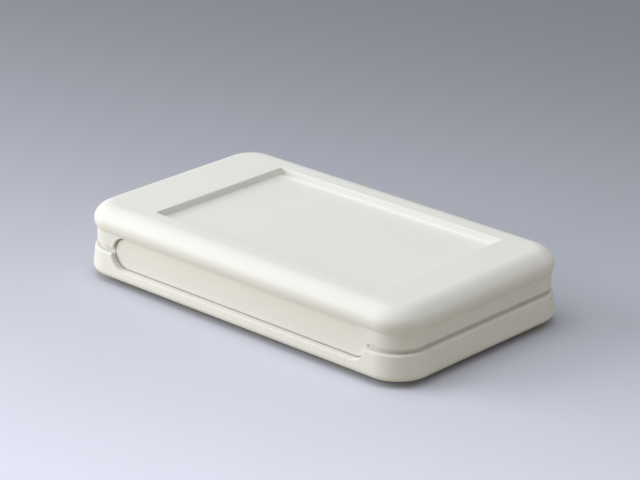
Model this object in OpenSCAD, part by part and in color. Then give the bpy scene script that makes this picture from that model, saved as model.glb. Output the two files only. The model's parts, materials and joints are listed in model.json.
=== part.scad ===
// Handheld plastic enclosure: two waisted half shells with a shadow gap between them, a sunk panel in
// the top, a strip trapped in a window in each long side, four screws from below and four rubber pads
// stuck underneath. Millimetres. X is the width, Y runs from foot to head and Z is up. The origin is in
// the middle, on the plane that the pads stand on. The modules draw the case with its underside at zero,
// and the last lines lift it on to its pads.

/* [Case] */
// Length of the case from foot to head
case_l = 141; // [125:1:170]
// Width of the case
case_w = 81; // [72:1:100]
// Height of the case
case_h = 23; // [22:0.5:32]
// Radius of the case's upright corners
corner_r = 12; // [11:0.5:16]

/* [Walls] */
// Distance from the outline to the inside of the walls
wall_in = 3.7; // [3.5:0.1:4.5]
// Thickness of the bottom plate
floor_t = 2.2; // [1.6:0.1:3]
// Thickness of the top plate
roof_t = 2.2; // [1.8:0.1:3]

/* [Top edge] */
// Radius of the gentle fall from the flat top
crown_r = 7; // [5:0.5:7.5]
// Radius of the nose that turns the crown down and in again
nose_r = 4; // [3:0.1:4.5]
// Set-back of the nose from the outline
brow_in = 0.5; // [0.2:0.1:0.7]
// Radius of the cove between the nose and the waist
cove_r = 0.5; // [0.3:0.1:1]

/* [Bottom edge] */
// Radius of the round at the foot of the case
foot_r = 2; // [1:0.1:3]
// Set-back of the bottom shell's wall at the shadow gap
low_rim_in = 0.6; // [0.3:0.1:1]
// Radius of the bottom shell's rim
lip_r = 0.7; // [0.3:0.1:0.9]

/* [Shadow gap and tongue] */
// Height of the middle of the shadow gap
part_z = 9.5; // [9:0.1:10.5]
// Height of the shadow gap
gap_h = 1.5; // [0.8:0.1:2]
// Set-back of the tongue that backs the gap
tongue_in = 2.6; // [2.4:0.1:2.8]
// Reach of the tongue above the gap
tongue_h = 2.2; // [1.5:0.1:3]
// Clearance between pieces that slide together
slip = 0.15; // [0.1:0.05:0.3]

/* [Sunk panel] */
// Flat top left at the head of the panel
panel_head = 25.5; // [16:0.5:40]
// Flat top left at the foot of the panel
panel_foot = 19.5; // [14:0.5:40]
// Top left beside the panel
panel_side = 11.25; // [9:0.25:20]
// Depth of the panel
panel_depth = 2.4; // [0.8:0.1:2.8]
// Radius of the panel's corners
panel_r = 0.8; // [0.4:0.1:3]

/* [Side strips] */
// Straight wall left between a corner and the end of a window
window_land = 3; // [2:0.5:12]
// Height of the bottom shell's wall below a window
window_foot = 3.9; // [3.6:0.1:5]
// Set-back of a strip's face from the outline
strip_in = 2.4; // [2:0.1:2.6]
// Rounding of a strip's face edge
strip_edge_r = 0.9; // [0.3:0.1:0.9]
// Thickness of a strip's flange
flange_t = 1.2; // [0.8:0.1:1.6]
// Ribs that hold each strip against its wall, in each shell
rib_count = 3; // [2:1:5]
// Distance between those ribs
rib_pitch = 36; // [12:1:40]
// Width of a rib along the wall
rib_w = 6; // [3:0.5:10]
// Thickness of ribs and webs
rib_t = 1.2; // [0.8:0.1:1.6]
// Gap left between the ribs of the two shells
rib_gap = 4; // [2:0.5:6]

/* [Screws] */
// Radius of a screw's shank
shank_r = 1.2; // [1:0.05:1.4]
// Length of a shank
shank_l = 12; // [9:0.5:13]
// Radius of a screw's head
head_r = 2.7; // [2.4:0.1:3]
// Height of a head
head_h = 1.8; // [1.4:0.1:2]
// Fall of a head's radius towards its face
head_taper = 0.45; // [0.2:0.05:0.7]
// Radius of the flat at a screw's tip
tip_r = 0.3; // [0.2:0.05:0.5]
// Length of the cross in a head
cross_l = 3.2; // [2.4:0.1:3.2]
// Width of the cross in a head
cross_w = 0.7; // [0.5:0.1:0.9]
// Depth of the cross in a head
cross_depth = 1; // [0.6:0.1:1.2]
// Height of the seat that a head pulls against
seat_z = 3.4; // [3:0.1:4]
// Radial clearance round a head in its counterbore
head_gap = 0.4; // [0.2:0.1:0.6]
// Radial clearance round a shank in the bottom shell
shank_gap = 0.4; // [0.2:0.1:0.6]
// Radial clearance round a shank in the top shell's pilot bore
pilot_gap = 0.05; // [0.02:0.01:0.1]
// Wall of the bottom shell's bosses round the counterbore
boss_wall = 1.3; // [1:0.1:1.6]
// Wall of the top shell's bosses round the pilot bore
pilot_wall = 2.1; // [1.5:0.1:2.4]
// Gap between a boss and the rounded inner corner
boss_gap = 0.8; // [0.4:0.1:2]
// Depth of a pilot bore past the tip of its screw
pilot_spare = 1.2; // [0.5:0.1:2]

/* [Board pillars] */
// Distance of the pillars from the long sides
pillar_side = 16.5; // [14:0.5:24]
// Distance of the pillars from the ends
pillar_end = 28.5; // [24:0.5:45]
// Radius of a pillar
pillar_r = 2.6; // [2.2:0.1:3.2]
// Height of the pillars' tops
pillar_z = 6.6; // [5:0.1:8]
// Radius of a pillar's pilot hole
pillar_hole_r = 1; // [0.8:0.05:1.2]
// Floor left below a pillar's pilot hole
pillar_floor = 1.2; // [0.8:0.1:1.6]

/* [Rubber pads] */
// Distance of the pads from the long sides
pad_side = 12.5; // [10:0.5:20]
// Distance of the pads from the ends
pad_end = 22; // [20:0.5:40]
// Radius of a pad where it is stuck on
pad_r = 5; // [3.5:0.1:5]
// Fall of a pad's radius towards the surface that it stands on
pad_taper = 0.5; // [0.2:0.1:1]
// Height that the pads lift the case
stand_h = 2; // [0.8:0.1:3]
// Depth of the recess that a pad is stuck in
pad_sink = 0.5; // [0.3:0.1:0.8]
// Radial clearance round a pad in its recess
pad_gap = 0.2; // [0.1:0.05:0.4]

/* [Hidden] */
$fn = 128;
// Overshoot of cuts past the faces that they open
over = 1;
// Reach of a rib, a boss or a shank into the solid that it stands on
embed = 0.3;
// Directions on the round edges: outwards, upwards, and the 3-4-5 slopes where curves meet
out_dir = [1, 0];
up_dir = [0, 1];
crown_end = [0.8, 0.6];
nose_end = [0.8, -0.6];
// Half sizes of the core between the corner axes
core_x = case_w / 2 - corner_r;
core_y = case_l / 2 - corner_r;
// Edges of the shadow gap and the top of the tongue
top_rim_z = part_z + gap_h / 2;
low_rim_z = part_z - gap_h / 2;
tongue_z = top_rim_z + tongue_h;
// Set-back of the top shell's upright waist
waist_in = brow_in + (1 - nose_end[0]) * (nose_r + cove_r);
// Underside of the top shell's webs, clear of the rebate for the tongue
web_z = tongue_z + 2 * slip;
// Underside of the top plate, floor of the sunk panel and underside of the pan that carries it
ceiling_z = case_h - roof_t;
panel_z = case_h - panel_depth;
pan_z = panel_z - roof_t;
// Sunk panel
panel_w = case_w - 2 * panel_side;
panel_l = case_l - panel_head - panel_foot;
panel_y = (panel_foot - panel_head) / 2;
// Windows, and the strips that fill them
window_h = 2 * (part_z - window_foot);
window_l = case_l - 2 * (corner_r + window_land);
flange_lap = window_foot - floor_t - slip;
flange_in = wall_in + slip;
rib_in = flange_in + flange_t + slip;
// Bosses: the wider ones are in the bottom shell
counterbore_r = head_r + head_gap;
low_boss_r = counterbore_r + boss_wall;
pilot_r = shank_r + pilot_gap;
top_boss_r = pilot_r + pilot_wall;
boss_off = (corner_r - wall_in - low_boss_r - boss_gap) / sqrt(2);
boss_x = core_x + boss_off;
boss_y = core_y + boss_off;
pilot_top_z = seat_z + shank_l + pilot_spare;
// Board pillars
pillar_x = case_w / 2 - pillar_side;
pillar_y = case_l / 2 - pillar_end;
// Rubber pads
pad_x = case_w / 2 - pad_side;
pad_y = case_l / 2 - pad_end;
// Colours
shell_colour = "#e4e2db";
strip_colour = "#dedacf";
steel_colour = "#9a9da0";
rubber_colour = "#3a3a3a";

// Slice of a disc between two directions
module sector(centre, radius, from_dir, to_dir) {
    reach = 2 * radius;
    intersection() {
        translate(centre) circle(radius);
        polygon([
            centre,
            centre + reach * from_dir,
            centre + reach * (from_dir + to_dir),
            centre + reach * to_dir
        ]);
    }
}

// Rectangle with rounded corners
module rounded_rect(width, length, radius) {
    square([width - 2 * radius, length], center = true);
    square([width, length - 2 * radius], center = true);
    for (side_x = [0, 1]) {
        for (side_y = [0, 1]) {
            mirror([side_x, 0]) mirror([0, side_y])
                sector([width / 2 - radius, length / 2 - radius], radius, out_dir, up_dir);
        }
    }
}

// Plan of the case, drawn in from the outline
module plan(inset) {
    rounded_rect(case_w - 2 * inset, case_l - 2 * inset, corner_r - inset);
}

// Upright ring between two insets of the plan
module plan_ring(outer_in, inner_in, from_z, to_z) {
    translate([0, 0, from_z]) linear_extrude(to_z - from_z) difference() {
        plan(outer_in);
        plan(inner_in);
    }
}

// Carries an edge profile round the case. The profile's x is the distance from a corner's axis.
module round_case() {
    for (turn = [0, 1]) {
        rotate([0, 0, 180 * turn]) {
            translate([core_x, core_y, 0]) rotate_extrude(angle = 90) children();
            translate([-core_x, core_y, 0]) rotate([0, 0, 90]) rotate_extrude(angle = 90) children();
            translate([core_x, core_y, 0]) rotate([90, 0, 0]) linear_extrude(2 * core_y) children();
            translate([-core_x, core_y, 0]) rotate([90, 0, 90]) linear_extrude(2 * core_x) children();
        }
    }
}

// Block between the corner axes
module core(from_z, to_z) {
    translate([-core_x, -core_y, from_z]) cube([2 * core_x, 2 * core_y, to_z - from_z]);
}

// Half of the top shell's section: gentle crown, round nose, and a small cove in to the upright waist
module top_profile() {
    nose_x = corner_r - brow_in - nose_r;
    crown = [nose_x - crown_end[0] * (crown_r - nose_r), case_h - crown_r];
    nose = [nose_x, crown[1] + crown_end[1] * (crown_r - nose_r)];
    cove = nose + (nose_r + cove_r) * nose_end;
    waist_x = corner_r - waist_in;
    base_z = min(top_rim_z, crown[1], cove[1]) - over;
    intersection() {
        translate([0, top_rim_z]) square([corner_r, case_h]);
        union() {
            sector(crown, crown_r, up_dir, crown_end);
            sector(nose, nose_r, crown_end, nose_end);
            difference() {
                polygon([
                    [0, base_z],
                    [waist_x, base_z],
                    [waist_x, cove[1]],
                    cove,
                    nose,
                    crown,
                    [crown[0], case_h],
                    [0, case_h]
                ]);
                sector(cove, cove_r, -out_dir, -nose_end);
            }
        }
    }
}

// Half of the bottom shell's section: round foot, wall that leans in and rounded rim
module bottom_profile() {
    foot = [corner_r - foot_r, foot_r];
    lip = [corner_r - low_rim_in - lip_r, low_rim_z - lip_r];
    sector(foot, foot_r, -up_dir, out_dir);
    sector(lip, lip_r, out_dir, up_dir);
    polygon([
        [0, 0],
        [foot[0], 0],
        foot,
        foot + foot_r * out_dir,
        lip + lip_r * out_dir,
        lip,
        [lip[0], low_rim_z],
        [0, low_rim_z]
    ]);
}

// Outline with two straight sides and two half-round ends, lying along x
module stadium(length, height) {
    straight = length / 2 - height / 2;
    square([2 * straight, height], center = true);
    for (end = [0, 1]) {
        mirror([end, 0]) {
            sector([straight, 0], height / 2, -up_dir, out_dir);
            sector([straight, 0], height / 2, out_dir, up_dir);
        }
    }
}

// Stands a shape on the +X side: its x runs along the side, its y up and its z outwards from an inset
module on_side(inset) {
    translate([case_w / 2 - inset, 0, part_z]) rotate([90, 0, 90]) children();
}

// Both long sides at once
module both_sides() {
    for (side = [0, 1]) {
        mirror([side, 0, 0]) children();
    }
}

// Cut for both windows, through the walls
module windows() {
    both_sides() on_side(wall_in + over) linear_extrude(wall_in + 2 * over) stadium(window_l, window_h);
}

// Ribs behind both strips, from one plate to near the middle of the case
module strip_ribs(from_z, to_z) {
    both_sides() {
        for (k = [0 : rib_count - 1]) {
            rib_y = (k - (rib_count - 1) / 2) * rib_pitch;
            translate([case_w / 2 - rib_in - rib_t, rib_y - rib_w / 2, from_z])
                cube([rib_t, rib_w, to_z - from_z]);
        }
    }
}

// Repeats a shape at the four screws, turned so that its +X and +Y face the corner
module at_screws() {
    for (side_x = [0, 1]) {
        for (side_y = [0, 1]) {
            mirror([side_x, 0, 0]) mirror([0, side_y, 0]) translate([boss_x, boss_y, 0]) children();
        }
    }
}

// Webs that tie a boss to the two walls of its corner, and end within the round of the wall
module boss_webs(from_z, to_z) {
    end_r = corner_r - (wall_in + tongue_in) / 2;
    web_l = sqrt(pow(end_r, 2) - pow(boss_off + rib_t / 2, 2)) - boss_off;
    translate([0, -rib_t / 2, from_z]) cube([web_l, rib_t, to_z - from_z]);
    translate([-rib_t / 2, 0, from_z]) cube([rib_t, web_l, to_z - from_z]);
}

module top_shell() {
    color(shell_colour) difference() {
        union() {
            difference() {
                union() {
                    round_case() top_profile();
                    core(top_rim_z, case_h);
                }
                translate([0, 0, top_rim_z - over]) linear_extrude(ceiling_z - top_rim_z + over) plan(wall_in);
                windows();
            }
            // Pan under the sunk panel
            translate([0, panel_y, pan_z]) linear_extrude(ceiling_z + embed - pan_z)
                rounded_rect(panel_w + 2 * roof_t, panel_l + 2 * roof_t, panel_r + roof_t);
            strip_ribs(part_z + rib_gap / 2, ceiling_z + embed);
            at_screws() {
                translate([0, 0, part_z]) cylinder(r = top_boss_r, h = ceiling_z + embed - part_z);
                boss_webs(web_z, ceiling_z + embed);
            }
        }
        // Sunk panel
        translate([0, panel_y, panel_z]) linear_extrude(panel_depth + over)
            rounded_rect(panel_w, panel_l, panel_r);
        // Rebate for the tongue
        plan_ring(tongue_in - slip, wall_in + slip, top_rim_z - over, tongue_z + slip);
        // Pilot bores
        at_screws() translate([0, 0, part_z - over]) cylinder(r = pilot_r, h = pilot_top_z - part_z + over);
    }
}

module bottom_shell() {
    color(shell_colour) difference() {
        union() {
            difference() {
                union() {
                    round_case() bottom_profile();
                    core(0, low_rim_z);
                    plan_ring(tongue_in, wall_in, low_rim_z - over, tongue_z);
                }
                translate([0, 0, floor_t]) linear_extrude(case_h) plan(wall_in);
                windows();
            }
            strip_ribs(floor_t - embed, part_z - rib_gap / 2);
            at_screws() {
                translate([0, 0, floor_t - embed]) cylinder(r = low_boss_r, h = part_z - floor_t + embed);
                boss_webs(floor_t - embed, low_rim_z);
            }
            both_sides() {
                for (end = [-1, 1]) {
                    translate([pillar_x, end * pillar_y, floor_t - embed])
                        cylinder(r = pillar_r, h = pillar_z - floor_t + embed);
                }
            }
        }
        // Screw holes with sunk seats
        at_screws() {
            translate([0, 0, -over]) cylinder(r = counterbore_r, h = seat_z + over);
            translate([0, 0, seat_z - over]) cylinder(r = shank_r + shank_gap, h = part_z - seat_z + 2 * over);
        }
        // Recesses for the pads
        both_sides() {
            for (end = [-1, 1]) {
                translate([pad_x, end * pad_y, -over]) cylinder(r = pad_r + pad_gap, h = pad_sink + over);
            }
        }
        // Pilot holes for a board
        both_sides() {
            for (end = [-1, 1]) {
                translate([pillar_x, end * pillar_y, pillar_floor])
                    cylinder(r = pillar_hole_r, h = pillar_z - pillar_floor + over);
            }
        }
    }
}

// Half section of a strip's face plate: height from the middle and depth from the back
module strip_profile(half_h, depth) {
    square([half_h, depth - strip_edge_r]);
    square([half_h - strip_edge_r, depth]);
    sector([half_h - strip_edge_r, depth - strip_edge_r], strip_edge_r, out_dir, up_dir);
}

// Strip on the +X side: a face plate with rounded edges that fills the window, and a flange behind the walls
module side_strip() {
    plate_h = window_h - 2 * slip;
    plate_l = window_l - 2 * slip;
    plate_t = flange_in - strip_in;
    straight = plate_l / 2 - plate_h / 2;
    on_side(flange_in) {
        for (end = [0, 1]) {
            mirror([end, 0, 0]) translate([straight, 0, 0]) rotate([0, 0, -90])
                rotate_extrude(angle = 180) strip_profile(plate_h / 2, plate_t);
        }
        for (edge = [0, 1]) {
            mirror([0, edge, 0]) translate([-straight, 0, 0]) rotate([90, 0, 90])
                linear_extrude(2 * straight) strip_profile(plate_h / 2, plate_t);
        }
    }
    on_side(flange_in + flange_t) linear_extrude(flange_t)
        stadium(window_l + 2 * flange_lap, window_h + 2 * flange_lap);
}

module side_strip_left() {
    color(strip_colour) mirror([1, 0, 0]) side_strip();
}

module side_strip_right() {
    color(strip_colour) side_strip();
}

// Pan-head screw, head down, with a cross in its head
module case_screw() {
    difference() {
        union() {
            translate([0, 0, seat_z - head_h]) cylinder(r1 = head_r - head_taper, r2 = head_r, h = head_h);
            translate([0, 0, seat_z - embed]) cylinder(r = shank_r, h = shank_l - shank_r + embed);
            translate([0, 0, seat_z + shank_l - shank_r]) cylinder(r1 = shank_r, r2 = tip_r, h = shank_r);
        }
        for (turn = [0, 90]) {
            rotate([0, 0, turn]) translate([0, 0, seat_z - head_h])
                cube([cross_l, cross_w, 2 * cross_depth], center = true);
        }
    }
}

module case_screws() {
    color(steel_colour) at_screws() case_screw();
}

// Rubber pad: narrower where it stands, straight where it sits in its recess
module pad(side, end) {
    color(rubber_colour) translate([side * pad_x, end * pad_y, 0]) {
        cylinder(r = pad_r, h = pad_sink);
        translate([0, 0, -stand_h]) cylinder(r1 = pad_r - pad_taper, r2 = pad_r, h = stand_h);
    }
}

module rubber_pad_head_left() {
    pad(-1, 1);
}

module rubber_pad_head_right() {
    pad(1, 1);
}

module rubber_pad_foot_left() {
    pad(-1, -1);
}

module rubber_pad_foot_right() {
    pad(1, -1);
}

// Lifts the case until its pads stand at zero
module on_pads() {
    translate([0, 0, stand_h]) children();
}

on_pads() top_shell();
on_pads() bottom_shell();
on_pads() side_strip_left();
on_pads() side_strip_right();
on_pads() case_screws();
on_pads() rubber_pad_head_left();
on_pads() rubber_pad_head_right();
on_pads() rubber_pad_foot_left();
on_pads() rubber_pad_foot_right();
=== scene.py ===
"""Handheld enclosure: models, finishes and stages a two-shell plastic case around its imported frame."""

import json
import math

import bmesh
import bpy
from bpy.props import FloatProperty, FloatVectorProperty, IntProperty, PointerProperty
from mathutils import Matrix, Vector

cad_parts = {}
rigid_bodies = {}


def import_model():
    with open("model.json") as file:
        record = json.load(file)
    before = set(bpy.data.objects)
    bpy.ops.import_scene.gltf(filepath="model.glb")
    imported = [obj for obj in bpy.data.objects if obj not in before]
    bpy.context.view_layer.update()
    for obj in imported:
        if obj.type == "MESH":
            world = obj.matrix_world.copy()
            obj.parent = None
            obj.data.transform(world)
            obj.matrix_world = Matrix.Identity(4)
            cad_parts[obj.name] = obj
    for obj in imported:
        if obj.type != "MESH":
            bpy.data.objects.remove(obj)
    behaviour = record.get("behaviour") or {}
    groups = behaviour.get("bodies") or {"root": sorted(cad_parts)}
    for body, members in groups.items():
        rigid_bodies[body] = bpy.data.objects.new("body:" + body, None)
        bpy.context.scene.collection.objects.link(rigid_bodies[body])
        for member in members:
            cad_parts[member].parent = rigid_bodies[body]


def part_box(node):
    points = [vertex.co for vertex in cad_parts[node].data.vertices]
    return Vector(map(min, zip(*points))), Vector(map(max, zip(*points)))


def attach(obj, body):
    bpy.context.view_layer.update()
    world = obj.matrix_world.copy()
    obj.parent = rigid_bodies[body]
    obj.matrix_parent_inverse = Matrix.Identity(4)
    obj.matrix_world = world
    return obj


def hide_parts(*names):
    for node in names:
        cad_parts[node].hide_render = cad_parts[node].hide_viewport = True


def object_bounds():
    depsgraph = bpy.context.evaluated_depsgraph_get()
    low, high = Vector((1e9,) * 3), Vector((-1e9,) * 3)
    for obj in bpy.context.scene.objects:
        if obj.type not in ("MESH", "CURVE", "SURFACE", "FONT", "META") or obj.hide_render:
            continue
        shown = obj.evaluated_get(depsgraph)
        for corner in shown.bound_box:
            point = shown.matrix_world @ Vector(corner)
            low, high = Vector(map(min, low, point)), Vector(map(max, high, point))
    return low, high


bl_info = {
    "name": "Handheld enclosure",
    "version": (1, 0, 0),
    "blender": (4, 5, 0),
    "location": "3D View > Sidebar > Enclosure",
    "description": "Models a plastic handheld case of two shells, two side strips, four screws and four pads",
    "category": "Object",
}

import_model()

# Places that the frame gives
CASE_LOW, CASE_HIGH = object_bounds()
TOP_Z = CASE_HIGH.z
BASE_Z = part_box("bottom_shell")[0].z
PART_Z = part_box("top_shell")[0].z
TONGUE_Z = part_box("bottom_shell")[1].z
STRIP_LOW, STRIP_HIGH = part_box("side_strip_right")
SCREW_LOW, SCREW_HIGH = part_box("case_screws")
PAD_LOW, PAD_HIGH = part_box("rubber_pad_head_right")
PAD_R = (PAD_HIGH.x - PAD_LOW.x) / 2
BODY = "root"

# Working values for the modelling
MM = 0.001
TOUCH = 0.001 * MM
OVER = 1 * MM
EMBED = 0.3 * MM
QUARTER = math.pi / 2
UP = Vector((0, 0, 1))
SHARP = math.radians(50)
SMOOTH = math.radians(38)

# Turns from outwards, 3 up or down to 4 out, where the crown meets the nose and the nose meets the cove
CROWN_END = math.atan2(3, 4)
NOSE_END = -CROWN_END

# Steps in a quarter of a corner or of a window's end, in the arc of an edge, and in a whole turn
CORNER_STEPS = 18
WINDOW_STEPS = 10
CROWN_STEPS = 10
NOSE_STEPS = 14
FOOT_STEPS = 10
FACE_STEPS = 8
EDGE_STEPS = 6
FILLET_STEPS = 4
BREAK_STEPS = 3
ROUND_STEPS = 48

# Degrees to which the crosses of the four screws are turned
SCREW_STOPS = (17, 64, 38, 81)

# Working values for the finishes: shares of a mix, spans over the grain's size and spreads of a value
SKIN_IOR = 1.5
SKIN_BUMP = 0.5
SKIN_SPREAD = 0.12
SKIN_TINT = 0.03
PIT_SHARE = 0.65
PIT_RATIO = 2.7
CLOUD_SHARE = 0.7
CLOUD_SPAN = 60
CLOUD_DETAIL = 3.0
STEEL_BUMP = 0.4
STEEL_SPREAD = 0.16
STAIN_SPAN = 4
STAIN_DARK = 0.9
STAIN_PALE = 1.08


def length(name, millimetres, description):
    """A length in the sidebar."""
    return FloatProperty(name=name, description=description, default=millimetres * MM, precision=5,
                         unit="LENGTH")


def share(name, value, description):
    """A number from 0 to 1 in the sidebar."""
    return FloatProperty(name=name, description=description, default=value, min=0.0, max=1.0,
                         subtype="FACTOR")


def angle(name, degrees, description):
    """An angle in the sidebar."""
    return FloatProperty(name=name, description=description, default=math.radians(degrees),
                         precision=4, subtype="ANGLE")


def colour(name, value, description):
    """A linear colour in the sidebar."""
    return FloatVectorProperty(name=name, description=description, default=value, min=0.0, max=1.0,
                               size=3, subtype="COLOR")


def watts(name, value, description):
    """A lamp's power in the sidebar."""
    return FloatProperty(name=name, description=description, default=value, min=0.0, unit="POWER")


def place(name, millimetres, description):
    """A point of the case's frame in the sidebar."""
    return FloatVectorProperty(name=name, description=description, size=3, subtype="TRANSLATION",
                               default=[value * MM for value in millimetres], precision=5)


class CaseSizes(bpy.types.PropertyGroup):
    """Walls and edges of the two shells"""
    corner_r: length("Corner radius", 12, "Radius of the case's upright corners")
    wall_in: length("Wall", 3.7, "Distance from the outline to the inside of the walls")
    floor_t: length("Bottom plate", 2.2, "Thickness of the bottom plate")
    roof_t: length("Top plate", 2.2, "Thickness of the top plate")
    crown_r: length("Crown radius", 7, "Radius of the gentle fall from the flat top")
    nose_r: length("Nose radius", 4, "Radius of the nose that turns the crown down and in again")
    brow_in: length("Nose set-back", 0.5, "Set-back of the nose from the outline")
    cove_r: length("Cove radius", 0.5, "Radius of the cove between the nose and the waist")
    foot_r: length("Foot radius", 2, "Radius of the round at the foot of the case")
    low_rim_in: length("Rim set-back", 0.6, "Set-back of the bottom shell's wall at the shadow gap")
    lip_r: length("Rim radius", 0.7, "Radius of the bottom shell's rim")
    gap_h: length("Shadow gap", 1.5, "Height of the shadow gap")
    tongue_in: length("Tongue set-back", 2.6, "Set-back of the tongue that backs the gap")
    slip: length("Clearance", 0.15, "Clearance between pieces that slide together")
    edge_r: length("Edge break", 0.2, "Rounding of the rims and of the window edges")
    inner_r: length("Inner round", 0.6, "Rounding between the walls and the plates inside")


class PanelSizes(bpy.types.PropertyGroup):
    """The sunk panel in the top shell"""
    head: length("Head", 25.5, "Flat top left at the head of the panel")
    foot: length("Foot", 19.5, "Flat top left at the foot of the panel")
    side: length("Side", 11.25, "Top left beside the panel")
    depth: length("Depth", 2.4, "Depth of the panel")
    corner_r: length("Corner radius", 0.8, "Radius of the panel's corners")
    edge_r: length("Edge break", 0.25, "Rounding of the panel's upper edge")
    floor_r: length("Floor round", 0.2, "Rounding where the panel's walls meet its floor")


class StripSizes(bpy.types.PropertyGroup):
    """The side strips, their windows and the ribs behind them"""
    window_land: length("Window land", 3, "Straight wall between a corner and the end of a window")
    window_foot: length("Window foot", 3.9, "Height of the bottom shell's wall below a window")
    edge_r: length("Face rounding", 0.9, "Rounding of a strip's face edge")
    flange_t: length("Flange", 1.2, "Thickness of a strip's flange")
    break_r: length("Edge break", 0.2, "Break of the flange's edges")
    rib_count: IntProperty(name="Ribs", description="Ribs behind each strip in each shell", default=3, min=1)
    rib_pitch: length("Rib pitch", 36, "Distance between the ribs")
    rib_w: length("Rib width", 6, "Width of a rib along the wall")
    rib_t: length("Rib thickness", 1.2, "Thickness of ribs and webs")
    rib_gap: length("Rib gap", 4, "Gap between the ribs of the two shells")


class ScrewSizes(bpy.types.PropertyGroup):
    """The case screws, their bosses and the board pillars"""
    head_r: length("Head radius", 2.7, "Radius of a screw's head")
    head_h: length("Head height", 1.8, "Height of a screw's head")
    head_taper: length("Head taper", 0.45, "Fall of the head's radius towards its face")
    head_round: length("Head rounding", 0.5, "Rounding of the head's face edge")
    shank_r: length("Shank radius", 1.2, "Radius of a screw's shank")
    tip_r: length("Tip radius", 0.3, "Radius of the flat at a screw's tip")
    cross_w: length("Cross width", 0.7, "Width of the cross in a head")
    cross_l: length("Cross length", 3.2, "Length of the cross in a head")
    cross_depth: length("Cross depth", 1, "Depth of the cross in a head")
    cross_taper: share("Cross taper", 0.6, "Size of the cross at its bottom over its size at the face")
    head_gap: length("Head clearance", 0.4, "Radial clearance round a head in its counterbore")
    mouth_r: length("Mouth chamfer", 0.3, "Chamfer at the mouth of a counterbore")
    shank_gap: length("Shank clearance", 0.4, "Radial clearance round a shank in the bottom shell")
    pilot_gap: length("Pilot clearance", 0.05, "Radial clearance round a shank in the top shell")
    pilot_spare: length("Pilot spare", 1.2, "Depth of a pilot bore past the tip of its screw")
    boss_wall: length("Boss wall", 1.3, "Wall of the bottom shell's bosses round the counterbore")
    pilot_wall: length("Pilot wall", 2.1, "Wall of the top shell's bosses round the pilot bore")
    pillar_x: length("Pillar across", 24, "Distance of the board pillars from the middle, across")
    pillar_y: length("Pillar along", 42, "Distance of the board pillars from the middle, along")
    pillar_r: length("Pillar radius", 2.6, "Radius of a board pillar")
    pillar_z: length("Pillar height", 6.6, "Height of the pillars' tops")
    pillar_hole_r: length("Pillar hole", 1, "Radius of a pillar's pilot hole")
    pillar_floor: length("Pillar floor", 1.2, "Floor left below a pillar's pilot hole")


class PadSizes(bpy.types.PropertyGroup):
    """The rubber pads under the case"""
    taper: length("Taper", 0.5, "Fall of a pad's radius towards the surface that it stands on")
    round_r: length("Edge rounding", 0.4, "Rounding of a pad's lower edge")
    gap: length("Clearance", 0.2, "Radial clearance round a pad in its recess")


class FinishSettings(bpy.types.PropertyGroup):
    """Colours and grain of the plastics, the steel and the rubber"""
    shell: colour("Shell", (0.81, 0.803, 0.765), "Off-white of the two shells")
    shell_grain: length("Shell grain", 0.28, "Size of the pits in the shells' spark-eroded skin")
    shell_relief: length("Shell relief", 0.012, "Depth of those pits")
    shell_rough: share("Shell roughness", 0.6, "Roughness of the shells' skin")
    strip: colour("Strip", (0.812, 0.793, 0.745), "Warmer off-white of the side strips")
    strip_grain: length("Strip grain", 0.18, "Size of the pits in the strips' skin")
    strip_relief: length("Strip relief", 0.006, "Depth of those pits")
    strip_rough: share("Strip roughness", 0.6, "Roughness of the strips' skin")
    steel: colour("Steel", (0.56, 0.57, 0.58), "Zinc plating of the screws")
    steel_rough: share("Steel roughness", 0.34, "Roughness of the zinc plating")
    ring_pitch: length("Turning pitch", 0.16, "Distance between the turning marks on a screw's head")
    ring_relief: length("Turning relief", 0.01, "Depth of those marks")
    rubber: colour("Rubber", (0.035, 0.035, 0.037), "Black of the rubber pads")
    rubber_grain: length("Rubber grain", 0.35, "Size of the mottles in the pads' matt skin")
    rubber_relief: length("Rubber relief", 0.01, "Depth of those mottles")
    rubber_rough: share("Rubber roughness", 0.75, "Roughness of the pads' skin")


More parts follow.
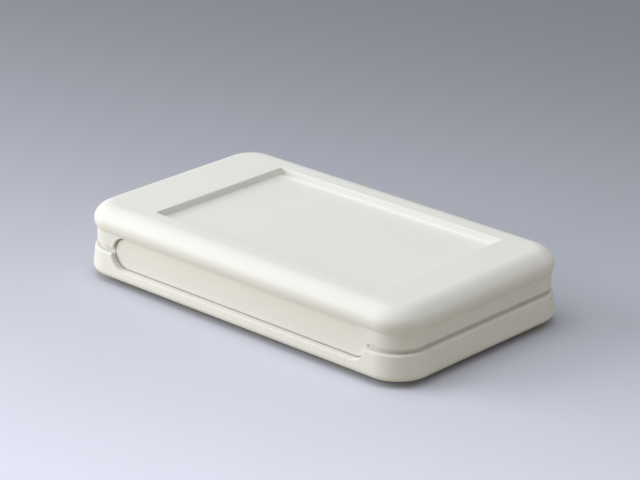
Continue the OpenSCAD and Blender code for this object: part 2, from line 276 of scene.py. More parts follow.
class StageSettings(bpy.types.PropertyGroup):
    """Floor, lamps and camera"""
    # The floor's seen blue-grey runs from pale to deep by painted shade, which stands in for the lamps' light
    # falling off over the floor
    pale: colour("Pale floor", (0.785, 0.805, 0.912), "Blue-grey of the floor at its pale end, as it is seen")
    deep: colour("Deep floor", (0.285, 0.302, 0.34), "Blue-grey of the floor at its deep end, as it is seen")
    fade_start: length("Fade start", -135, "Place along the fade's line at which the floor is palest")
    fade_span: length("Fade span", 515, "Length over which the floor deepens")
    fade_turn: angle("Fade turn", 28, "Turn of the fade's line from across to along")
    tooth: share("Tooth", 0.03, "Share of the fade by which the paper's tooth makes it uneven")
    tooth_size: length("Tooth size", 40, "Size of the paper's tooth")
    bounce: colour("Floor bounce", (0.59, 0.55, 0.465), "Colour that the floor throws back at the case")
    floor_r: length("Floor radius", 4000, "Radius of the floor")
    sky: colour("Sky", (1.0, 0.985, 0.96), "Colour of the light from all round")
    sky_level: share("Sky level", 0.28, "Level of the light from all round")
    lamp: colour("Lamps", (0.96, 0.98, 1.0), "Colour of the lamps")
    over_place: place("Softbox", (-130, 140, 850), "Middle of the softbox overhead")
    over_size: length("Softbox size", 700, "Side of the softbox's square face")
    over_power: watts("Softbox power", 3.25, "Power of the softbox")
    key_place: place("Key lamp", (-590, 690, 360), "Middle of the key lamp at the back left")
    key_size: length("Key size", 700, "Side of the key lamp's square face")
    key_power: watts("Key power", 7.5, "Power of the key lamp")
    fill_place: place("Fill lamp", (0, -450, 780), "Middle of the fill lamp over the foot's end")
    fill_size: length("Fill size", 600, "Side of the fill lamp's square face")
    fill_power: watts("Fill power", 1.0, "Power of the fill lamp")
    azimuth: angle("Azimuth", -47.17, "Turn of the camera round the case")
    elevation: angle("Elevation", 21.56, "Height of the camera over the horizon")
    roll: angle("Roll", 0.33, "Tilt of the camera")
    target: place("Target", (13.59, 12.56, 12), "Point that the camera looks at")
    distance: length("Distance", 893.85, "Distance of the camera from its target")
    lens: FloatProperty(name="Lens", description="Focal length on a 36 mm sensor, in millimetres",
                        default=153.4, unit="CAMERA")


class EnclosureSettings(bpy.types.PropertyGroup):
    """Everything that a user may change"""
    case: PointerProperty(type=CaseSizes)
    panel: PointerProperty(type=PanelSizes)
    strip: PointerProperty(type=StripSizes)
    screw: PointerProperty(type=ScrewSizes)
    pad: PointerProperty(type=PadSizes)
    finish: PointerProperty(type=FinishSettings)
    stage: PointerProperty(type=StageSettings)


# Outlines: rows of (distance from a corner's axis, height)


def arc(centre, radius, start, end, steps):
    """Points on an arc. Angles run from outwards to upwards."""
    turns = [start + (end - start) * k / steps for k in range(steps + 1)]
    return [(centre[0] + radius * math.cos(turn), centre[1] + radius * math.sin(turn)) for turn in turns]


def corners_of(low_x, high_x, low_y, high_y):
    """Corner axes of an upright rounded box, in the order in which a sweep meets them."""
    return [Vector(xy + (0,)) for xy in ((high_x, high_y), (low_x, high_y), (low_x, low_y), (high_x, low_y))]


def case_corners(case):
    """Corner axes of the case."""
    x = CASE_HIGH.x - case.corner_r
    y = CASE_HIGH.y - case.corner_r
    return corners_of(-x, x, -y, y)


def panel_corners(panel):
    """Corner axes of the sunk panel."""
    x = CASE_HIGH.x - panel.side - panel.corner_r
    low_y = CASE_LOW.y + panel.foot + panel.corner_r
    high_y = CASE_HIGH.y - panel.head - panel.corner_r
    return corners_of(-x, x, low_y, high_y)


def window_h(strip):
    """Height of a window, which reaches as far above the parting plane as below it."""
    return 2 * (PART_Z - BASE_Z - strip.window_foot)


def window_ends(case, strip):
    """Axes of a window's two half-round ends, lying down."""
    reach = CASE_HIGH.y - case.corner_r - strip.window_land - window_h(strip) / 2
    return [Vector((0, reach, 0)), Vector((0, -reach, 0))]


def waist_in(case):
    """Set-back of the top shell's upright waist."""
    return case.brow_in + (1 - math.cos(NOSE_END)) * (case.nose_r + case.cove_r)


def top_outside(case, strip, rim_z):
    """The top shell's outside from the top down: gentle crown, round nose, small cove and upright waist."""
    spread = case.crown_r - case.nose_r
    nose_x = case.corner_r - case.brow_in - case.nose_r
    crown = (nose_x - spread * math.cos(CROWN_END), TOP_Z - case.crown_r)
    nose = (nose_x, crown[1] + spread * math.sin(CROWN_END))
    reach = case.nose_r + case.cove_r
    cove = (nose[0] + reach * math.cos(NOSE_END), nose[1] + reach * math.sin(NOSE_END))
    rows = [(crown[0] - case.edge_r, TOP_Z)]
    rows += arc(crown, case.crown_r, QUARTER, CROWN_END, CROWN_STEPS)
    rows += arc(nose, case.nose_r, CROWN_END, NOSE_END, NOSE_STEPS)[1:]
    rows += arc(cove, case.cove_r, math.pi + NOSE_END, math.pi, FILLET_STEPS)[1:]
    # The wall's rows pass through the points of the window's round ends, so that the cut leaves no slivers
    ends = arc((0, PART_Z), window_h(strip) / 2, QUARTER, 0, WINDOW_STEPS)
    rows += [(case.corner_r - waist_in(case), z) for _, z in ends if rim_z < z < cove[1]]
    rows.append((case.corner_r - waist_in(case), rim_z))
    return rows


def bottom_outside(case, rim_z):
    """The bottom shell's outside from the underside up: round foot, wall that leans in and rounded rim."""
    foot = (case.corner_r - case.foot_r, BASE_Z + case.foot_r)
    lip = (case.corner_r - case.low_rim_in - case.lip_r, rim_z - case.lip_r)
    rows = [(foot[0] - case.edge_r, BASE_Z)]
    rows += arc(foot, case.foot_r, -QUARTER, 0, FOOT_STEPS)
    rows += arc(lip, case.lip_r, 0, QUARTER, EDGE_STEPS)
    return rows


# Modelling steps


def start_piece(name):
    """Adds an empty mesh object at the origin and opens it in edit mode."""
    bpy.ops.object.select_all(action="DESELECT")
    bpy.ops.mesh.primitive_plane_add(size=MM)
    piece = bpy.context.object
    piece.name = name
    piece.data.name = name
    bpy.ops.object.mode_set(mode="EDIT")
    bpy.ops.mesh.delete(type="VERT")
    return piece


def draw_chain(points):
    """Merges a small plane to one vertex, extrudes it along the points and selects the chain."""
    bpy.ops.mesh.select_mode(type="VERT")
    bpy.ops.mesh.primitive_plane_add(size=MM)
    bpy.ops.mesh.merge(type="CENTER")
    bpy.ops.transform.translate(value=points[0])
    for here, there in zip(points, points[1:]):
        bpy.ops.mesh.extrude_vertices_move(TRANSFORM_OT_translate={"value": there - here})
    bpy.ops.mesh.select_linked()


def sweep(rows, corners, steps):
    """Carries rows round upright corner axes: along each side, then round each corner."""
    # A spin turns clockwise about its axis
    turn = -2 * math.pi / len(corners)
    here = corners[-1]
    draw_chain([here + Vector((out, 0, z)) for out, z in rows])
    for corner in corners:
        if corner != here:
            bpy.ops.mesh.extrude_region_move(TRANSFORM_OT_translate={"value": corner - here})
        bpy.ops.mesh.spin(steps=steps, angle=turn, center=corner, axis=UP)
        here = corner
    merge_doubles()


def merge_doubles():
    """Welds points that lie on each other."""
    bpy.ops.mesh.select_all(action="SELECT")
    bpy.ops.mesh.remove_doubles(threshold=TOUCH)


def select_edges(piece, wanted):
    """Selects the edges that pass a test."""
    bpy.ops.mesh.select_mode(type="EDGE")
    bpy.ops.mesh.select_all(action="DESELECT")
    mesh = bmesh.from_edit_mesh(piece.data)
    for edge in mesh.edges:
        edge.select_set(wanted(edge))
    bmesh.update_edit_mesh(piece.data)


def select_open_loops(piece, z):
    """Selects the open edges at a height."""
    select_edges(piece, lambda edge: edge.is_boundary and all(abs(v.co.z - z) < TOUCH for v in edge.verts))


def fill_band(piece, z):
    """Closes the flat band between the two open loops at a height."""
    select_open_loops(piece, z)
    bpy.ops.mesh.fill(use_beauty=True)
    bpy.ops.mesh.tris_convert_to_quads()


def fill(piece, z):
    """Closes the open loop at a height by a flat face."""
    select_open_loops(piece, z)
    bpy.ops.mesh.edge_face_add()


def close_piece():
    """Welds the mesh, turns its faces outwards and leaves edit mode."""
    merge_doubles()
    bpy.ops.mesh.normals_make_consistent(inside=False)
    bpy.ops.object.mode_set(mode="OBJECT")


def make_active(piece):
    """Selects one object alone."""
    bpy.ops.object.select_all(action="DESELECT")
    piece.select_set(True)
    bpy.context.view_layer.objects.active = piece


def apply_modifier(piece, kind, **settings):
    """Adds a modifier with its settings and applies it."""
    make_active(piece)
    bpy.ops.object.modifier_add(type=kind)
    modifier = piece.modifiers[-1]
    for name, value in settings.items():
        setattr(modifier, name, value)
    bpy.ops.object.modifier_apply(modifier=modifier.name)


def mirror_tool(tool, across_y=True):
    """Repeats a tool on the other sides of the case."""
    apply_modifier(tool, "MIRROR", use_axis=(True, across_y, False), use_mirror_merge=False)
    return tool


def combine(piece, tool, operation):
    """Cuts a tool out of a piece or joins it on, and removes the tool."""
    apply_modifier(piece, "BOOLEAN", object=tool, operation=operation, solver="EXACT")
    bpy.data.objects.remove(tool)
    bpy.ops.object.mode_set(mode="EDIT")
    merge_doubles()
    bpy.ops.object.mode_set(mode="OBJECT")


def settle(piece):
    """Puts an object's place and turn into its mesh."""
    make_active(piece)
    bpy.ops.object.transform_apply(location=True, rotation=True, scale=True)


def block(low, high):
    """A block between two corners."""
    size = Vector(high) - Vector(low)
    bpy.ops.object.select_all(action="DESELECT")
    bpy.ops.mesh.primitive_cube_add(size=1, location=Vector(low) + size / 2, scale=size)
    tool = bpy.context.object
    settle(tool)
    return tool


def turned(name, rows, axis):
    """A solid turned about an upright axis from rows of (radius, height)."""
    piece = start_piece(name)
    sweep(rows, [axis], ROUND_STEPS)
    close_piece()
    return piece


def rod(radius, low_z, high_z, axis):
    """A plain round rod as a tool."""
    return turned("rod", [(0, low_z), (radius, low_z), (radius, high_z), (0, high_z)], axis)


def stand_on_right(piece, x):
    """Turns a shape that lies on the origin to face outwards on the right side."""
    piece.rotation_euler = (0, QUARTER, 0)
    piece.location = (x, 0, PART_Z)
    settle(piece)


def screw_axis(screw):
    """Axis of the screw in the far right corner."""
    return Vector((SCREW_HIGH.x - screw.head_r, SCREW_HIGH.y - screw.head_r, 0))


def pad_axis():
    """Axis of the rubber pad in the far right corner."""
    return Vector((PAD_LOW.x + PAD_R, PAD_LOW.y + PAD_R, 0))


def window_tool(settings):
    """Cut for both windows."""
    case, strip = settings.case, settings.strip
    depth = case.wall_in + 2 * OVER
    end_r = window_h(strip) / 2
    tool = start_piece("windows")
    sweep([(end_r, 0), (end_r, depth)], window_ends(case, strip), 2 * WINDOW_STEPS)
    fill(tool, 0)
    fill(tool, depth)
    close_piece()
    stand_on_right(tool, CASE_HIGH.x - case.wall_in - OVER)
    return mirror_tool(tool, across_y=False)


def rib_tool(settings, low_z, high_z):
    """Ribs behind both strips."""
    strip = settings.strip
    x = STRIP_LOW.x - settings.case.slip - strip.rib_t
    y = -(strip.rib_count - 1) / 2 * strip.rib_pitch - strip.rib_w / 2
    tool = block((x, y, low_z), (x + strip.rib_t, y + strip.rib_w, high_z))
    apply_modifier(tool, "ARRAY", count=strip.rib_count, use_relative_offset=False, use_constant_offset=True,
                   constant_offset_displace=(0, strip.rib_pitch, 0))
    return mirror_tool(tool, across_y=False)


def join_bosses(piece, settings, radius, boss_z, web_z):
    """Joins on the four screw bosses and the webs that tie each to the two walls of its corner."""
    case, half_t = settings.case, settings.strip.rib_t / 2
    axis = screw_axis(settings.screw)
    aside = axis.x - case_corners(case)[0].x
    end_r = case.corner_r - (case.wall_in + case.tongue_in) / 2
    reach = math.sqrt(end_r ** 2 - (aside + half_t) ** 2) - aside
    combine(piece, mirror_tool(rod(radius, *boss_z, axis)), "UNION")
    across = block((axis.x, axis.y - half_t, web_z[0]), (axis.x + reach, axis.y + half_t, web_z[1]))
    combine(piece, mirror_tool(across), "UNION")
    along = block((axis.x - half_t, axis.y, web_z[0]), (axis.x + half_t, axis.y + reach, web_z[1]))
    combine(piece, mirror_tool(along), "UNION")


def break_outer_edges(piece, case):
    """Rounds the sharp edges on the outside of a shell's wall: its rim and its windows."""
    core = case_corners(case)[0]

    def on_outside(point):
        out = math.hypot(max(abs(point.x) - core.x, 0), max(abs(point.y) - core.y, 0))
        return case.corner_r - out < waist_in(case) + case.edge_r + TOUCH

    def sharp_outside(edge):
        return edge.calc_face_angle(0) > SHARP and all(on_outside(v.co) for v in edge.verts)

    make_active(piece)
    bpy.ops.object.mode_set(mode="EDIT")
    select_edges(piece, sharp_outside)
    bpy.ops.mesh.bevel(offset=case.edge_r, segments=BREAK_STEPS, affect="EDGES", clamp_overlap=False)
    merge_doubles()
    bpy.ops.object.mode_set(mode="OBJECT")


def finish_piece(piece, material, slot, *nodes):
    """Shades a finished mesh, gives it its material and puts it in place of its CAD nodes."""
    make_active(piece)
    bpy.ops.object.shade_smooth_by_angle(angle=SMOOTH)
    apply_modifier(piece, "WEIGHTED_NORMAL", keep_sharp=True)
    piece.data.materials.clear()
    piece.data.materials.append(material)
    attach(piece, BODY)
    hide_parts(*nodes)


# Pieces


def model_top_shell(settings):
    """Swept wall, sunk panel and pan, then windows, ribs and bosses."""
    case, panel, strip, screw = settings.case, settings.panel, settings.strip, settings.screw
    rim_z = PART_Z + case.gap_h / 2
    ceiling_z = TOP_Z - case.roof_t
    panel_z = TOP_Z - panel.depth
    pan_z = panel_z - case.roof_t
    inner = case.corner_r - case.wall_in
    wall = top_outside(case, strip, rim_z)
    rebate = case.corner_r - case.tongue_in + case.slip
    wall += [(rebate, rim_z), (rebate, TONGUE_Z + case.slip), (inner, TONGUE_Z + case.slip)]
    wall += arc((inner - case.inner_r, ceiling_z - case.inner_r), case.inner_r, 0, QUARTER, FILLET_STEPS)
    edge = panel.corner_r + panel.edge_r
    recess = [(edge + panel.edge_r, TOP_Z)]
    recess += arc((edge, TOP_Z - panel.edge_r), panel.edge_r, QUARTER, math.pi, FILLET_STEPS)
    fillet = (panel.corner_r - panel.floor_r, panel_z + panel.floor_r)
    recess += arc(fillet, panel.floor_r, 0, -QUARTER, FILLET_STEPS)
    recess.append((panel.corner_r - 2 * panel.floor_r, panel_z))
    pan_out = panel.corner_r + case.roof_t
    piece = start_piece("top_moulding")
    sweep(wall, case_corners(case), CORNER_STEPS)
    sweep(recess, panel_corners(panel), CORNER_STEPS)
    sweep([(pan_out, ceiling_z), (pan_out, pan_z)], panel_corners(panel), CORNER_STEPS)
    fill_band(piece, TOP_Z)
    fill_band(piece, ceiling_z)
    fill(piece, panel_z)
    fill(piece, pan_z)
    close_piece()
    combine(piece, window_tool(settings), "DIFFERENCE")
    break_outer_edges(piece, case)
    combine(piece, rib_tool(settings, PART_Z + strip.rib_gap / 2, ceiling_z + EMBED), "UNION")
    pilot_r = screw.shank_r + screw.pilot_gap
    join_bosses(piece, settings, pilot_r + screw.pilot_wall, (PART_Z, ceiling_z + EMBED),
                (TONGUE_Z + 2 * case.slip, ceiling_z + EMBED))
    bore = rod(pilot_r, PART_Z - OVER, SCREW_HIGH.z + screw.pilot_spare, screw_axis(screw))
    combine(piece, mirror_tool(bore), "DIFFERENCE")
    return piece


def model_bottom_shell(settings):
    """Swept tray with its tongue, then windows, ribs, bosses, pillars and holes."""
    case, strip, screw, pad = settings.case, settings.strip, settings.screw, settings.pad
    rim_z = PART_Z - case.gap_h / 2
    floor_z = BASE_Z + case.floor_t
    inner = case.corner_r - case.wall_in
    tongue = case.corner_r - case.tongue_in
    tray = bottom_outside(case, rim_z)
    tray.append((tongue, rim_z))
    tray += arc((tongue - case.edge_r, TONGUE_Z - case.edge_r), case.edge_r, 0, QUARTER, BREAK_STEPS)
    tray += arc((inner + case.edge_r, TONGUE_Z - case.edge_r), case.edge_r, QUARTER, math.pi, BREAK_STEPS)
    tray += arc((inner - case.inner_r, floor_z + case.inner_r), case.inner_r, 0, -QUARTER, FILLET_STEPS)
    piece = start_piece("bottom_moulding")
    sweep(tray, case_corners(case), CORNER_STEPS)
    fill(piece, BASE_Z)
    fill(piece, floor_z)
    close_piece()
    combine(piece, window_tool(settings), "DIFFERENCE")
    break_outer_edges(piece, case)
    sunk_z = floor_z - EMBED
    combine(piece, rib_tool(settings, sunk_z, PART_Z - strip.rib_gap / 2), "UNION")
    head_z = SCREW_LOW.z + screw.head_h
    sunk_r = screw.head_r + screw.head_gap
    join_bosses(piece, settings, sunk_r + screw.boss_wall, (sunk_z, PART_Z), (sunk_z, rim_z))
    pillar = Vector((screw.pillar_x, screw.pillar_y, 0))
    pillar_z = BASE_Z + screw.pillar_z
    combine(piece, mirror_tool(rod(screw.pillar_r, sunk_z, pillar_z, pillar)), "UNION")
    pilot = rod(screw.pillar_hole_r, BASE_Z + screw.pillar_floor, pillar_z + OVER, pillar)
    combine(piece, mirror_tool(pilot), "DIFFERENCE")
    recess = rod(PAD_R + pad.gap, BASE_Z - OVER, PAD_HIGH.z, pad_axis())
    combine(piece, mirror_tool(recess), "DIFFERENCE")
    shank_r = screw.shank_r + screw.shank_gap
    mouth = sunk_r + screw.mouth_r
    hole = [(0, BASE_Z - OVER), (mouth + OVER, BASE_Z - OVER), (sunk_r, BASE_Z + screw.mouth_r)]
    hole += [(sunk_r, head_z), (shank_r, head_z), (shank_r, PART_Z + OVER), (0, PART_Z + OVER)]
    combine(piece, mirror_tool(turned("screw_hole", hole, screw_axis(screw))), "DIFFERENCE")
    return piece


def model_strip(settings):
    """Face plate with rounded edges and the flange behind it, on the right side."""
    case, strip = settings.case, settings.strip
    flange = (STRIP_HIGH.z - STRIP_LOW.z) / 2
    plate = window_h(strip) / 2 - case.slip
    face_z = STRIP_HIGH.x - STRIP_LOW.x
    rows = [(flange - strip.break_r, 0), (flange, strip.break_r), (flange, strip.flange_t - strip.break_r)]
    rows += [(flange - strip.break_r, strip.flange_t), (plate, strip.flange_t)]
    rows += arc((plate - strip.edge_r, face_z - strip.edge_r), strip.edge_r, 0, QUARTER, FACE_STEPS)
    rows.append((plate - strip.edge_r - strip.break_r, face_z))
    piece = start_piece("right_strip_moulding")
    sweep(rows, window_ends(case, strip), 2 * CORNER_STEPS)
    fill(piece, 0)
    fill(piece, face_z)
    close_piece()
    stand_on_right(piece, STRIP_LOW.x)
    return piece


def copy_piece(piece, name, location, turn):
    """Copies a piece with a mesh of its own, turned about the upright axis and moved."""
    make_active(piece)
    bpy.ops.object.duplicate(linked=False)
    copy = bpy.context.object
    copy.name = name
    copy.data.name = name
    copy.rotation_euler = (0, 0, turn)
    copy.location = location
    settle(copy)
    return copy


def cross_wing(screw):
    """One wing of the cross in a screw's head, narrower at its bottom."""
    half_l, half_w = screw.cross_l / 2, screw.cross_w / 2
    face_z, end_z = SCREW_LOW.z, SCREW_LOW.z + screw.cross_depth
    tool = block((-half_l, -half_w, face_z - OVER), (half_l, half_w, end_z))
    bpy.ops.object.mode_set(mode="EDIT")
    select_edges(tool, lambda edge: all(v.co.z > face_z for v in edge.verts))
    bpy.ops.transform.resize(value=(screw.cross_taper, screw.cross_taper, 1), center_override=(0, 0, end_z))
    bpy.ops.object.mode_set(mode="OBJECT")
    return tool


def model_screw(screw):
    """Pan-head screw, head down, with a cross in its head."""
    seat_z = SCREW_LOW.z + screw.head_h
    face_r = screw.head_r - screw.head_taper
    rows = [(0, SCREW_LOW.z)]
    brim = (face_r - screw.head_round, SCREW_LOW.z + screw.head_round)
    rows += arc(brim, screw.head_round, -QUARTER, 0, EDGE_STEPS)
    rows += [(screw.head_r, seat_z), (screw.shank_r, seat_z), (screw.shank_r, SCREW_HIGH.z - screw.shank_r)]
    rows += [(screw.tip_r, SCREW_HIGH.z), (0, SCREW_HIGH.z)]
    piece = turned("case_screw", rows, Vector((0, 0, 0)))
    for turn in (0, QUARTER):
        wing = cross_wing(screw)
        wing.rotation_euler = (0, 0, turn)
        settle(wing)
        combine(piece, wing, "DIFFERENCE")
    return piece


def model_pad(pad):
    """Rubber pad, narrower and rounded where it stands, straight where it sits in its recess."""
    low_r = PAD_R - pad.taper
    rows = [(0, PAD_LOW.z)]
    rows += arc((low_r - pad.round_r, PAD_LOW.z + pad.round_r), pad.round_r, -QUARTER, 0, EDGE_STEPS)
    rows += [(PAD_R, BASE_Z), (PAD_R, PAD_HIGH.z), (0, PAD_HIGH.z)]
    return turned("rubber_pad", rows, Vector((0, 0, 0)))


# Finishes


class Socket:
    """A shader socket on which Python's operators add Math nodes."""

    def __init__(self, tree, output):
        self.tree = tree
        self.output = output

    def maths(self, operation, left, right):
        return self.tree.node("ShaderNodeMath", {"operation": operation}, {0: left, 1: right})

    def __add__(self, other):
        return self.maths("ADD", self, other)

    def __sub__(self, other):
        return self.maths("SUBTRACT", self, other)

    def __rsub__(self, other):
        return self.maths("SUBTRACT", other, self)

    def __mul__(self, other):
        return self.maths("MULTIPLY", self, other)

    def __truediv__(self, other):
        return self.maths("DIVIDE", self, other)

    def __pow__(self, other):
        return self.maths("POWER", self, other)

    def __abs__(self):
        return self.maths("ABSOLUTE", self, 0.0)

    __radd__ = __add__
    __rmul__ = __mul__


class Tree:
    """The node tree of a material or a world."""

    def __init__(self, owner):
        owner.use_nodes = True
        self.nodes = owner.node_tree.nodes
        self.links = owner.node_tree.links
        self.nodes.clear()

    def node(self, kind, settings, sockets, output=0):
        """Adds a node, sets it, fills its sockets with values or links, and gives one of its outputs."""
        made = self.nodes.new(kind)
        for name, value in settings.items():
            setattr(made, name, value)
        for name, value in sockets.items():
            if isinstance(value, Socket):
                self.links.new(value.output, made.inputs[name])
            else:
                made.inputs[name].default_value = value
        return Socket(self, made.outputs[output]) if made.outputs else None

    def noise(self, where, size, detail=2.0):
        """Noise with features of a size, from 0 to 1."""
        return self.node("ShaderNodeTexNoise", {}, {"Vector": where, "Scale": 1 / size, "Detail": detail})

    def blend(self, amount, first, second):
        """A colour between two colours, by a Mix node's colour sockets."""
        return self.node("ShaderNodeMix", {"data_type": "RGBA"}, {0: amount, 6: first, 7: second}, 2)


def tone(value, level=1.0):
    """A colour for a socket, lighter or darker by a factor."""
    return tuple(min(channel * level, 1.0) for channel in value) + (1.0,)


def moulded_skin(name, base, grain, relief, rough):
    """The skin of a moulding from a spark-eroded tool: fine pits over faint clouds of tone."""
    material = bpy.data.materials.new(name)
    tree = Tree(material)
    where = tree.node("ShaderNodeTexCoord", {}, {}, "Object")
    pits = PIT_SHARE * tree.noise(where, grain) + (1 - PIT_SHARE) * tree.noise(where, grain / PIT_RATIO)
    clouds = tree.noise(where, CLOUD_SPAN * grain, CLOUD_DETAIL)
    mottle = CLOUD_SHARE * clouds + (1 - CLOUD_SHARE) * pits
    tint = tree.blend(mottle, tone(base, 1 - SKIN_TINT), tone(base, 1 + SKIN_TINT))
    normal = tree.node("ShaderNodeBump", {}, {"Strength": SKIN_BUMP, "Distance": relief, "Height": pits})
    shader = tree.node("ShaderNodeBsdfPrincipled", {}, {
        "Base Color": tint,
        "Roughness": rough - SKIN_SPREAD / 2 + SKIN_SPREAD * pits,
        "Normal": normal,
        "IOR": SKIN_IOR,
    })
    tree.node("ShaderNodeOutputMaterial", {}, {"Surface": shader})
    return material


def plated_steel(settings):
    """Zinc-plated steel with turning marks round each screw's own axis."""
    finish, axis = settings.finish, screw_axis(settings.screw)
    material = bpy.data.materials.new("zinc_plated_steel")
    tree = Tree(material)
    where = tree.node("ShaderNodeTexCoord", {}, {}, "Object")
    split = [tree.node("ShaderNodeSeparateXYZ", {}, {0: where}, name) for name in "XY"]
    across, along = abs(split[0]) - axis.x, abs(split[1]) - axis.y
    radius = (across * across + along * along) ** 0.5
    marks = tree.noise(tree.node("ShaderNodeCombineXYZ", {}, {0: radius}), finish.ring_pitch)
    stains = tree.noise(where, STAIN_SPAN * finish.ring_pitch)
    tint = tree.blend(stains, tone(finish.steel, STAIN_DARK), tone(finish.steel, STAIN_PALE))
    relief = {"Strength": STEEL_BUMP, "Distance": finish.ring_relief, "Height": marks}
    normal = tree.node("ShaderNodeBump", {}, relief)
    shader = tree.node("ShaderNodeBsdfPrincipled", {}, {
        "Base Color": tint,
        "Metallic": 1.0,
        "Roughness": finish.steel_rough - STEEL_SPREAD / 2 + STEEL_SPREAD * marks,
        "Normal": normal,
    })
    tree.node("ShaderNodeOutputMaterial", {}, {"Surface": shader})
    return material


def shell_plastic(finish):
    """Off-white plastic of both shells."""
    return moulded_skin("shell_plastic", finish.shell, finish.shell_grain, finish.shell_relief,
                        finish.shell_rough)


def strip_plastic(finish):
    """Warmer plastic of both strips."""
    return moulded_skin("strip_plastic", finish.strip, finish.strip_grain, finish.strip_relief,
                        finish.strip_rough)


def pad_rubber(finish):
    """Matt black rubber of the pads."""
    return moulded_skin("pad_rubber", finish.rubber, finish.rubber_grain, finish.rubber_relief,
                        finish.rubber_rough)


def floor_paper(stage):
    """Matt paper of the floor, seen in blue-grey with painted shade that deepens it where the lamps' light
    falls off, and throwing back a warmer light.
    """
    material = bpy.data.materials.new("floor_paper")
    tree = Tree(material)
    where = tree.node("ShaderNodeTexCoord", {}, {}, "Object")
    across, along = [tree.node("ShaderNodeSeparateXYZ", {}, {0: where}, name) for name in "XY"]
    # The fade from pale to deep is painted shade where the lamps' light falls off across the floor, made a
    # little uneven by the paper's tooth
    reach = across * math.cos(stage.fade_turn) + along * math.sin(stage.fade_turn)
    tooth = stage.tooth * tree.noise(where, stage.tooth_size)
    fade = tree.node("ShaderNodeClamp", {}, {0: (reach - stage.fade_start) / stage.fade_span + tooth})
    slack = 1 - fade
    kinds = ("Camera", "Glossy", "Transmission")
    rays = [tree.node("ShaderNodeLightPath", {}, {}, f"Is {kind} Ray") for kind in kinds]
    seen = tree.blend(slack * slack, tone(stage.deep), tone(stage.pale))
    shader = tree.node("ShaderNodeBsdfPrincipled", {}, {
        "Base Color": tree.blend(rays[0] + rays[1] + rays[2], tone(stage.bounce), seen),
        "Roughness": 1.0,
        "Specular IOR Level": 0.0,
    })
    tree.node("ShaderNodeOutputMaterial", {}, {"Surface": shader})
    return material


# Stage


def lay_floor(stage):
    """A wide round floor under the case."""
    floor = start_piece("floor")
    sweep([(0, CASE_LOW.z), (stage.floor_r, CASE_LOW.z)], [Vector((0, 0, 0))], ROUND_STEPS)
    close_piece()
    floor.data.materials.append(floor_paper(stage))


def light_sky(stage):
    """A low even light from all round."""
    world = bpy.data.worlds.new("studio")
    bpy.context.scene.world = world
    tree = Tree(world)
    glow = tree.node("ShaderNodeBackground", {}, {"Color": tone(stage.sky), "Strength": stage.sky_level})
    tree.node("ShaderNodeOutputWorld", {}, {"Surface": glow})


def hang_lamp(name, tint, spot, size, power):
    """A soft square lamp that faces the case."""
    lamp = bpy.data.lights.new(name, "AREA")
    lamp.color = tint
    lamp.energy = power
    lamp.size = size
    holder = bpy.data.objects.new(name, lamp)
    bpy.context.scene.collection.objects.link(holder)
    turn = Vector(spot).to_track_quat("Z", "Y").to_matrix().to_4x4()
    holder.matrix_world = Matrix.Translation(spot) @ turn
    holder.visible_camera = False


def aim_camera(stage):
    """The camera, turned round the case by its azimuth, elevation and roll."""
    level = math.cos(stage.elevation)
    right = Vector((math.cos(stage.azimuth), math.sin(stage.azimuth), 0))
    back = Vector((right.y * level, -right.x * level, math.sin(stage.elevation)))
    over = back.cross(right)
    tilted = math.cos(stage.roll) * right + math.sin(stage.roll) * over
    turn = Matrix((tilted, back.cross(tilted), back)).transposed().to_4x4()
    lens = bpy.data.cameras.new("camera")
    lens.lens = stage.lens
    camera = bpy.data.objects.new("camera", lens)
    bpy.context.scene.collection.objects.link(camera)
    camera.matrix_world = Matrix.Translation(Vector(stage.target) + stage.distance * back) @ turn
    bpy.context.scene.camera = camera


# Operators and panel


class ENCLOSURE_OT_top_shell(bpy.types.Operator):
    """Model the top shell"""
    bl_idname = "enclosure.top_shell"
    bl_label = "Top shell"

    def execute(self, context):
        settings = context.scene.enclosure
        finish_piece(model_top_shell(settings), shell_plastic(settings.finish), "shell", "top_shell")
        return {"FINISHED"}


class ENCLOSURE_OT_bottom_shell(bpy.types.Operator):
    """Model the bottom shell"""
    bl_idname = "enclosure.bottom_shell"
    bl_label = "Bottom shell"

    def execute(self, context):
        settings = context.scene.enclosure
        finish_piece(model_bottom_shell(settings), shell_plastic(settings.finish), "shell", "bottom_shell")
        return {"FINISHED"}


class ENCLOSURE_OT_side_strips(bpy.types.Operator):
    """Model the strip on the right and copy it to the left"""
    bl_idname = "enclosure.side_strips"
    bl_label = "Side strips"

    def execute(self, context):
        settings = context.scene.enclosure
        plastic = strip_plastic(settings.finish)
        right = model_strip(settings)
        left = copy_piece(right, "left_strip_moulding", (0, 0, 0), math.pi)
        finish_piece(right, plastic, "strip", "side_strip_right")
        finish_piece(left, plastic, "strip", "side_strip_left")
        return {"FINISHED"}


class ENCLOSURE_OT_case_screws(bpy.types.Operator):
    """Model one screw and copy it to the four corners"""
    bl_idname = "enclosure.case_screws"
    bl_label = "Case screws"

    def execute(self, context):
        settings = context.scene.enclosure
        steel = plated_steel(settings)
        axis = screw_axis(settings.screw)
        pattern = model_screw(settings.screw)
        stops = [math.radians(degrees) for degrees in SCREW_STOPS]
        sides = [(1, 1), (-1, 1), (-1, -1), (1, -1)]
        for number, ((side_x, side_y), turn) in enumerate(zip(sides, stops), 1):
            spot = (side_x * axis.x, side_y * axis.y, 0)
            copy = copy_piece(pattern, f"case_screw_{number}", spot, turn)
            finish_piece(copy, steel, "screw", "case_screws")
        bpy.data.objects.remove(pattern)
        return {"FINISHED"}


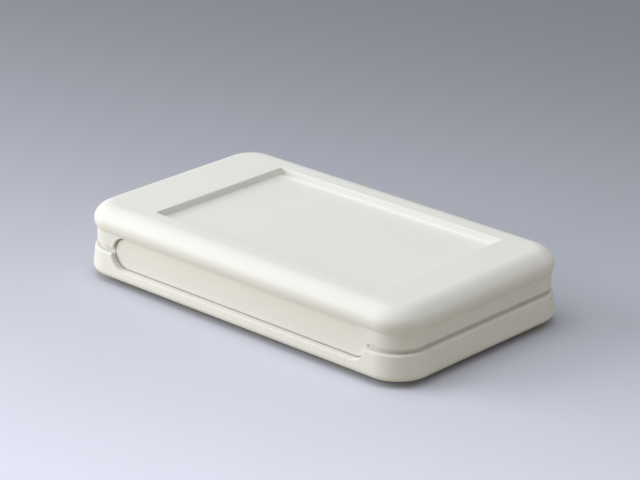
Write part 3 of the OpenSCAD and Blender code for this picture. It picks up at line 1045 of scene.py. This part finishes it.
class ENCLOSURE_OT_rubber_pads(bpy.types.Operator):
    """Model one rubber pad and copy it to the four corners"""
    bl_idname = "enclosure.rubber_pads"
    bl_label = "Rubber pads"

    def execute(self, context):
        settings = context.scene.enclosure
        rubber = pad_rubber(settings.finish)
        axis = pad_axis()
        pattern = model_pad(settings.pad)
        for end, side_y in (("head", 1), ("foot", -1)):
            for side, side_x in (("left", -1), ("right", 1)):
                spot = (side_x * axis.x, side_y * axis.y, 0)
                copy = copy_piece(pattern, f"{end}_{side}_pad", spot, 0)
                finish_piece(copy, rubber, "rubber", f"rubber_pad_{end}_{side}")
        bpy.data.objects.remove(pattern)
        return {"FINISHED"}


class ENCLOSURE_OT_stage(bpy.types.Operator):
    """Lay the floor, light it and aim the camera"""
    bl_idname = "enclosure.stage"
    bl_label = "Stage"

    def execute(self, context):
        stage = context.scene.enclosure.stage
        context.scene.view_settings.view_transform = "Standard"
        lay_floor(stage)
        light_sky(stage)
        hang_lamp("softbox", stage.lamp, stage.over_place, stage.over_size, stage.over_power)
        hang_lamp("key_lamp", stage.lamp, stage.key_place, stage.key_size, stage.key_power)
        hang_lamp("fill_lamp", stage.lamp, stage.fill_place, stage.fill_size, stage.fill_power)
        aim_camera(stage)
        return {"FINISHED"}


OPERATORS = (ENCLOSURE_OT_top_shell, ENCLOSURE_OT_bottom_shell, ENCLOSURE_OT_side_strips,
             ENCLOSURE_OT_case_screws, ENCLOSURE_OT_rubber_pads, ENCLOSURE_OT_stage)
GROUPS = ("case", "panel", "strip", "screw", "pad", "finish", "stage")


class ENCLOSURE_PT_pieces(bpy.types.Panel):
    """Sizes, colours and pieces of the enclosure"""
    bl_idname = "ENCLOSURE_PT_pieces"
    bl_label = "Enclosure"
    bl_space_type = "VIEW_3D"
    bl_region_type = "UI"
    bl_category = "Enclosure"

    def draw(self, context):
        for operator in OPERATORS:
            self.layout.operator(operator.bl_idname)
        for name in GROUPS:
            group = getattr(context.scene.enclosure, name)
            box = self.layout.box()
            box.label(text=name.capitalize())
            for setting in group.__annotations__:
                box.prop(group, setting)


CLASSES = (CaseSizes, PanelSizes, StripSizes, ScrewSizes, PadSizes, FinishSettings, StageSettings,
           EnclosureSettings, *OPERATORS, ENCLOSURE_PT_pieces)


def register():
    for item in CLASSES:
        bpy.utils.register_class(item)
    bpy.types.Scene.enclosure = PointerProperty(type=EnclosureSettings)


def unregister():
    del bpy.types.Scene.enclosure
    for item in reversed(CLASSES):
        bpy.utils.unregister_class(item)


def main():
    register()
    bpy.ops.enclosure.top_shell()
    bpy.ops.enclosure.bottom_shell()
    bpy.ops.enclosure.side_strips()
    bpy.ops.enclosure.case_screws()
    bpy.ops.enclosure.rubber_pads()
    bpy.ops.enclosure.stage()


if __name__ == "__main__":
    main()
